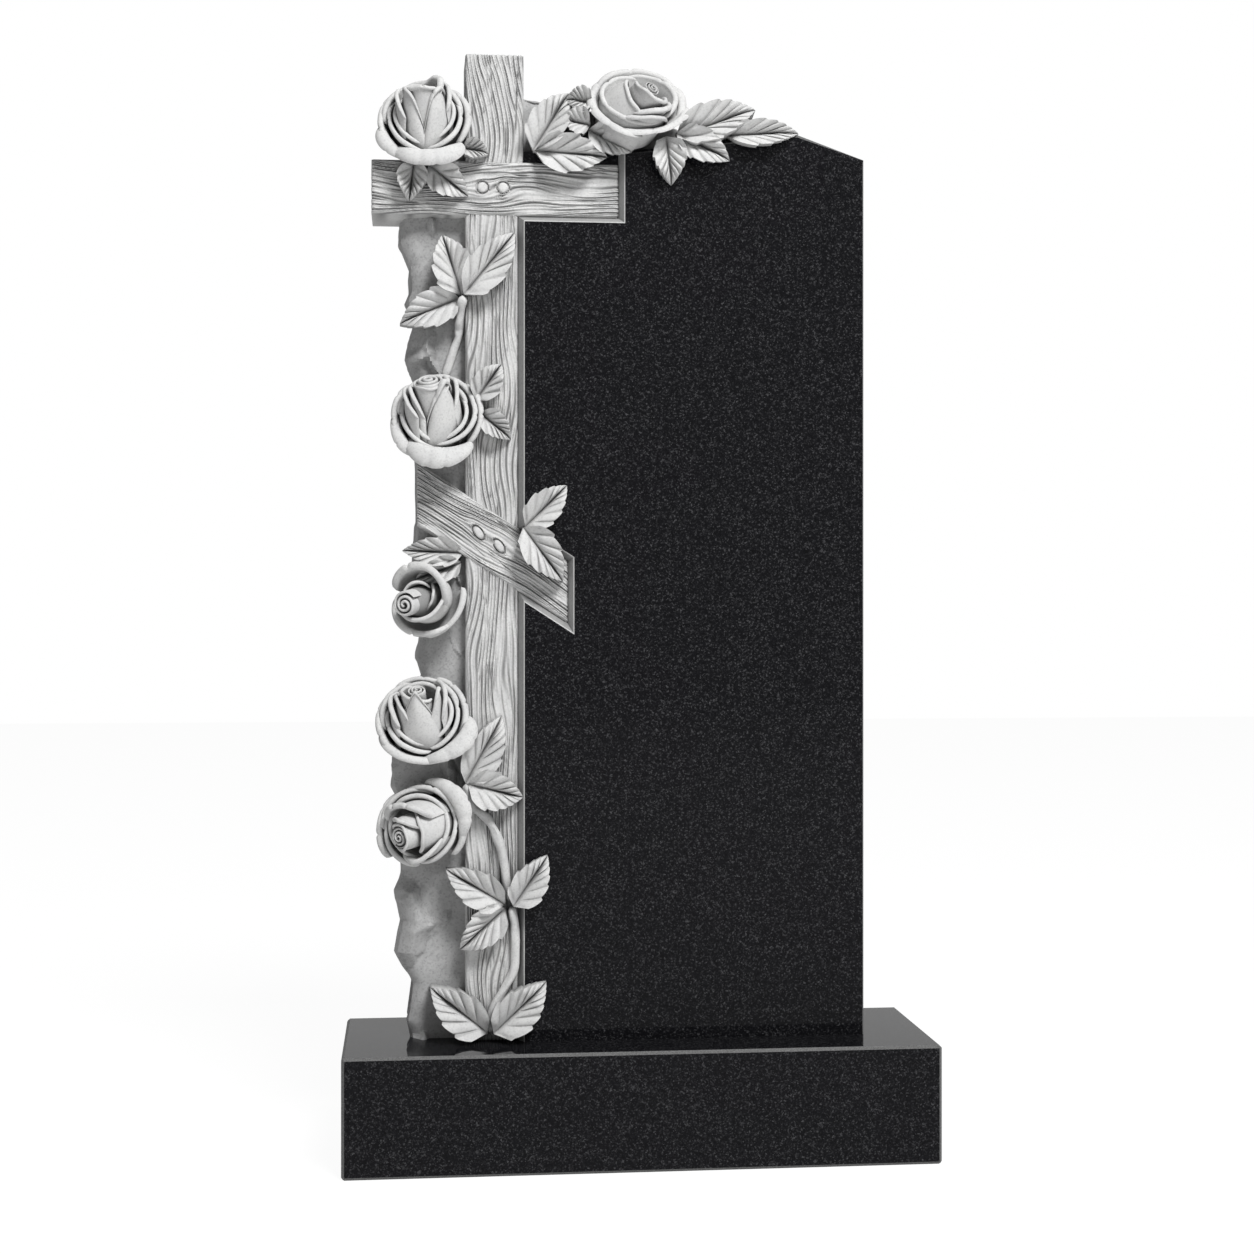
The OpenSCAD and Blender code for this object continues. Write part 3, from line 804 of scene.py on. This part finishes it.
WIDE_CUP = [
    (-70, 112, 0.58, 0.36, -0.16, 0.040, 0.1, 2.4, (0.1, -0.5)),
    (112, 92, 0.58, 0.38, -0.15, 0.040, 0.15, 2.4, (0.3,)),
    (176, 70, 0.74, 0.36, -0.12, 0.055, 0.2, 2.4, (0.2,)),
    (-78, 84, 0.50, 0.20, -0.40, 0.066, 0.15, 2.4, (0.5, 0.1, -0.35)),
    (38, 66, 0.50, 0.20, -0.40, 0.066, 0.2, 2.4, (-0.3, 0.4)),
    (110, 48, 0.50, 0.20, -0.38, 0.065, 0.3, 2.4, ())]
WIDE_BUD = [
    (30, 110, 0.34, 0.86, 0.02, 0.020, 0.15, 2.0, ()),
    (80, 78, 0.52, 0.78, 0.08, 0.040, 0.3, 1.8, ()),
    (-28, 92, 0.60, 0.56, 0.16, 0.020, 0.25, 2.2, ()),
    (60, 62, 0.62, 0.66, 0.08, 0.035, 0.4, 1.6, ())]

# name, x from the post's left side, height above the plinth, size, the cup's lean, tip and spin with
# its petals, then the bud's shift (x, z), lean, tip and petals, and its scroll's radius and top
ROSES = [
    ("rose_top_left", -41, 929, 0.96, (-4, 70, 0), CUP + LOW_LIP,
     (0, -5), (-4, 30), FOLDED_BUD, 0.14, 0.6),
    ("rose_on_crest", 174, 947, 1.02, (4, 50, 0), WIDE_CUP,
     (-8, -4), (48, 48), WIDE_BUD, 0.16, 0.80),
    ("rose_under_beam", -28, 632, 0.96, (2, 70, 0), CUP + LOW_LIP,
     (-3, -8), (-8, 28), SPIRAL_BUD, 0.29, 1.02),
    ("rose_bud", -40, 449, 0.84, (-70, 66, 0), SMALL_BUD,
     (-6, -2), (-104, 58), [], 0.30, 0.72),
    ("rose_low", -43, 327, 0.96, (-6, 68, 10), CUP + CRUMPLED_LIP,
     (-2, -5), (-6, 30), POINTED_BUD, 0.2, 0.86),
    ("rose_lowest", -42, 218, 0.97, (-60, 72, -60), CUP + SIDE_LIP,
     (3, 1), (-104, 46), LYING_BUD, 0.22, 0.84)]
CUP_DEPTH = 37
BUD_DEPTH = 43
CUP_FOOT = -0.52
BUD_FOOT = -0.66
BUD_SHARE = 1.1


def flower_frame(x, depth, z, lean, tip, spin):
    """Frame at a place on the stone whose +Z is a flower's axis, leaned sideways and tipped forwards."""
    place = Matrix.Translation((post_left + x, -depth, plinth_top + z))
    turned = Matrix.Rotation(math.radians(lean), 4, "Y") @ Matrix.Rotation(math.radians(tip), 4, "X")
    return place @ turned @ Matrix.Rotation(math.radians(spin), 4, "Z")


def build_rose(seed, x, z, share, cup, cup_petals, shift, bud, bud_petals, wound, wound_top):
    size = ROSE_RADIUS * share
    bm = new_carving()
    cup_frame = flower_frame(x, CUP_DEPTH, z, *cup)
    for number, row in enumerate(cup_petals):
        petal(bm, cup_frame, size, CUP_FOOT, seed + number, *row)
    bud_frame = flower_frame(x + shift[0], BUD_DEPTH, z + shift[1], *bud, 0)
    size *= BUD_SHARE
    heart(bm, bud_frame, size, 0.42, BUD_FOOT, 0.6)
    scroll(bm, bud_frame, size, wound_top, wound, seed)
    for number, row in enumerate(bud_petals):
        petal(bm, bud_frame, size, BUD_FOOT, seed + 7 + number, *row)
    bmesh.ops.remove_doubles(bm, verts=bm.verts, dist=0.05)
    return bm


for seed, (name, *rose) in enumerate(ROSES):
    stele_piece(build_rose(1.7 * seed, *rose), name, [CARVED], 60)

# ======== leaves ============================================================================
# Rose leaves lie over the cross, the rough edge and the polished face. Each is folded along its
# midrib, swells between its side veins, and ends in the teeth that the veins run out to.

LEAF_RISE = 13
VEINS = 7
VEIN_WIDTH = 0.95
VEIN_SWEEP = 0.95

LEAVES = [  # x from the post's left side, height above the plinth, angle, length, width, over, roll, back
    (-52, 890, -97, 40, 30, -2, 0, 20),
    (-37, 888, -38, 50, 34, -4, 10, 16),
    (-4, 906, -12, 28, 20, -4, 0, 14),
    (68, 904, 58, 70, 40, 0, -6, 32),
    (70, 904, -4, 74, 40, 2, 8, 18),
    (128, 953, 176, 28, 26, 4, 0, 34),
    (126, 930, 172, 30, 28, 5, 0, 34),
    (124, 926, -26, 50, 30, 3, 8, 28),
    (204, 921, -84, 50, 34, 2, 0, 10),
    (214, 925, -26, 62, 34, 2, 6, 12),
    (214, 921, 20, 88, 40, 0, -6, 34),
    (266, 924, 3, 76, 27, -1, 0, 28),
    (-4, 757, 108, 64, 42, -6, 0, 26),
    (-2, 757, 51, 82, 40, 0, 6, 16),
    (-6, 755, -156, 66, 38, -12, 0, 20),
    (10, 650, 55, 46, 30, -4, 0, 12),
    (14, 638, -40, 42, 26, -4, 0, 12),
    (60, 522, 45, 60, 34, 4, 0, 12),
    (58, 522, -54, 68, 38, 6, 0, 16),
    (-2, 496, 178, 62, 30, -12, 0, 20),
    (-4, 486, 200, 50, 26, -10, 0, 20),
    (0, 262, 62, 78, 38, -2, 6, 14),
    (2, 262, -14, 58, 40, 0, 0, 14),
    (40, 140, 149, 70, 38, 2, 0, 18),
    (40, 136, -138, 62, 36, 0, 0, 18),
    (48, 138, 56, 62, 36, 5, 0, 14),
    (22, 10, 141, 74, 42, 0, 0, 24),
    (28, 10, 44, 74, 42, 6, 0, 18)]


def leaf_frame(x, z, angle, over, roll):
    place = Matrix.Translation((post_left + x, face_y - over, plinth_top + z))
    pointed = Matrix.Rotation(math.radians(-angle), 4, "Y")
    rolled = Matrix.Rotation(math.radians(90 + roll), 4, "X")
    return place @ (pointed @ rolled)


def leaf_width(s):
    """Share of a leaf's half-width at the share s of its length: widest before its middle, pointed."""
    return 2.868 * max(0.0, s) ** 0.62 * max(0.0, 1 - s) ** 0.95


def leaf(bm, to_stone, length, width, back, seed):
    """A pointed, toothed leaf from the frame's origin along its +X, carried on solid stone."""
    cut = bm.verts.layers.float["cut"]
    made = bmesh.ops.create_grid(bm, x_segments=72, y_segments=36, size=0.5)["verts"]
    own_faces = dict.fromkeys(f for v in made for f in v.link_faces)
    cell = length / VEINS
    half = width / 2
    for vert in made:
        s, t = vert.co.x + 0.5, 2 * vert.co.y
        side = abs(t)
        sweep = VEIN_SWEEP * math.sqrt(max(0.0, s)) * (1 - s)
        order = s * VEINS + (0.45 if t > 0 else 0) + 0.25 * math.sin(seed + 3 * s)
        part = order - math.floor(order)
        vein = math.exp(-(min(part, 1 - part) * cell / VEIN_WIDTH) ** 2)
        vein *= 0.65 + 0.35 * math.sin(5.1 * math.floor(order + 0.5) + seed)
        x = s + sweep * side
        full = leaf_width(s + sweep)
        tooth = 1 + 0.15 * (part - 0.5) * side ** 4
        y = t * half * full * tooth
        swell = min(1.0, 1.4 * leaf_width(x))
        rise = LEAF_RISE * (0.12 + 0.88 * swell) * (side - 0.3 * side ** 2) / 0.7 + 0.12 * LEAF_RISE * swell
        ribs = min(1.0, side * 2.5) * swell
        rise += ribs * (1.7 * math.sin(math.pi * part) ** 0.8 - 1.8 * vein)
        rise += 1.8 * swell * noise.noise((s * 2.4, t * 1.5, seed)) - 3.0 * max(0.0, x - 0.75) ** 2 * 10
        middle = math.exp(-(side * half * full / 1.0) ** 2) * min(1.0, 8 * s)
        rise -= 1.5 * middle
        vert.co = (length * x, y, rise)
        # Veins and midrib are darkened: painted shade in their grooves, partly bare stone.
        vert[cut] = min(1.0, 0.42 * vein * ribs + 0.45 * middle)
    rim = dict.fromkeys(e for f in own_faces for e in f.edges if e.is_boundary)
    pulled = bmesh.ops.extrude_edge_only(bm, edges=list(rim))["geom"]
    pulled_verts = new_verts(pulled)
    for vert in pulled_verts:
        vert.co.z = -back
        vert.co.y *= 0.82
        # The walls under each leaf are darkened: painted shade beneath the leaf, partly bare stone.
        vert[cut] = 0.7
    last = [e for e in pulled if isinstance(e, bmesh.types.BMEdge) and e.is_boundary]
    bmesh.ops.holes_fill(bm, edges=last, sides=0)
    bmesh.ops.transform(bm, matrix=to_stone, verts=made + pulled_verts)


def build_leaves():
    bm = new_carving()
    for seed, (x, z, angle, length, width, over, roll, back) in enumerate(LEAVES):
        leaf(bm, leaf_frame(x, z, angle, over, roll), length, width, back, 2.3 * seed)
    bmesh.ops.remove_doubles(bm, verts=bm.verts, dist=0.005)
    return bm


stele_piece(build_leaves(), "leaves", [CARVED], 50)

# ======== stems =============================================================================
# The stems run down over the post and the rough edge from leaf to leaf, half sunk in the stone.

STEM_WIDTH = 9
STEM_SIDES = 14
STEM_STEPS = 12
STEMS = [  # x from the post's left side, out of the polished face's plane, height above the plinth
    [(-3, 0, beam_under - plinth_top - 82), (-6, -14, beam_under - plinth_top - 108),
     (-8, -21, beam_under - plinth_top - 126), (-22, -23, beam_under - plinth_top - 166)],
    [(0, 0, 262), (6, -3, 240), (22, -3, 226), (36, -2, 196), (44, 0, 142)],
    [(46, 0, 138), (50, -2, 112), (48, -3, 70), (28, -2, 34), (25, 0, 10)]]


def smooth_route(points, steps):
    """Points of a smooth curve through the places of a route."""
    ends = [2 * points[0] - points[1]] + points + [2 * points[-1] - points[-2]]
    curve = []
    for a, b, c, d in zip(ends, ends[1:], ends[2:], ends[3:]):
        for step in range(steps):
            t = step / steps
            curve.append(0.5 * (2 * b + (c - a) * t + (2 * a - 5 * b + 4 * c - d) * t ** 2
                                + (3 * b - a - 3 * c + d) * t ** 3))
    return curve + [points[-1]]


def stem(bm, route, seed):
    points = [Vector((post_left + x, face_y - out, plinth_top + z)) for x, out, z in route]
    curve = smooth_route(points, STEM_STEPS)
    rows = len(curve) - 1
    made = bmesh.ops.create_grid(bm, x_segments=STEM_SIDES, y_segments=rows, size=0.5)["verts"]
    for vert in made:
        i = round((vert.co.y + 0.5) * rows)
        angle = 2 * math.pi * (vert.co.x + 0.5)
        along = (curve[min(i + 1, rows)] - curve[max(i - 1, 0)]).normalized()
        across = along.cross(Vector((0, 1, 0))).normalized()
        outward = across.cross(along)
        knots = noise.noise((i / 5, 1.3 * math.cos(angle), seed + math.sin(angle)))
        thick = STEM_WIDTH / 2 * (1 + 0.35 * knots)
        thick *= min(1.0, math.sqrt((min(i, rows - i) + 0.001) / 2))
        vert.co = curve[i] + thick * (math.cos(angle) * across + math.sin(angle) * outward)


def build_stems():
    bm = new_carving()
    for seed, route in enumerate(STEMS):
        stem(bm, route, seed)
    bmesh.ops.remove_doubles(bm, verts=bm.verts, dist=0.2)
    return bm


stele_piece(build_stems(), "stems", [CARVED], 60)

# ======== floor, light and camera ===========================================================
# The stone stands on a plain pale floor in a white studio, lit by one soft lamp high on the right.
# The camera is level and stands a little to the left of the stone's middle.

FLOOR_HALF = 8.0


def studio_rays(finish, mirrored=1.0):
    """1 for what the camera sees straight, and mirrored for what it sees in a polished surface."""
    straight, glossy, clear = [finish.node("ShaderNodeLightPath", {}, {}, kind)
                               for kind in ("Is Camera Ray", "Is Glossy Ray", "Is Transmission Ray")]
    return straight.highest(glossy.highest(clear) * mirrored)


def pale_floor():
    floor = new_finish("pale floor")
    floor.fill(floor.shader.inputs, {"Base Color": grey(0.9), "Roughness": 0.9, "Specular IOR Level": 0.0})
    white = floor.node("ShaderNodeEmission", {}, {"Color": grey(1.0), "Strength": 1.06})
    share = studio_rays(floor) * 0.9
    matt = Wire(floor, floor.shader.outputs[0])
    mixed = floor.node("ShaderNodeMixShader", {}, {0: share, 1: matt, 2: white})
    floor.tree.links.new(mixed.socket, floor.tree.nodes["Material Output"].inputs["Surface"])
    return floor.owner


bm = bmesh.new()
bmesh.ops.create_grid(bm, x_segments=1, y_segments=1, size=FLOOR_HALF)
floor_mesh = bpy.data.meshes.new("floor")
bm.to_mesh(floor_mesh)
bm.free()
floor_mesh.materials.append(pale_floor())
floor = bpy.data.objects.new("floor", floor_mesh)
bpy.context.scene.collection.objects.link(floor)

world = bpy.data.worlds.new("studio")
bpy.context.scene.world = world
sky = Finish(world)
sky.fill(sky.shader.inputs, {"Color": grey(1.0), "Strength": studio_rays(sky, 0.72) * 0.85 + 0.15})


def soft_lamp(name, place, aim, width, watts):
    lamp = bpy.data.lights.new(name, "AREA")
    lamp.shape = "DISK"
    lamp.size = width
    lamp.energy = watts
    holder = bpy.data.objects.new(name, lamp)
    holder.location = place
    holder.rotation_euler = (Vector(aim) - Vector(place)).to_track_quat("-Z", "Y").to_euler()
    bpy.context.scene.collection.objects.link(holder)


soft_lamp("key", place=(1.3, -3.7, 4.6), aim=(-0.05, 0, 0.6), width=1.9, watts=335)

camera_data = bpy.data.cameras.new("camera")
camera_data.sensor_width = 36
camera_data.lens = 58.94
camera_data.shift_y = -0.016
camera = bpy.data.objects.new("camera", camera_data)
camera.location = (-0.230, -2.122, 0.561)
camera.rotation_euler = (math.radians(90), 0, math.radians(-5.95))
bpy.context.scene.collection.objects.link(camera)
bpy.context.scene.camera = camera
bpy.context.scene.view_settings.view_transform = "Standard"
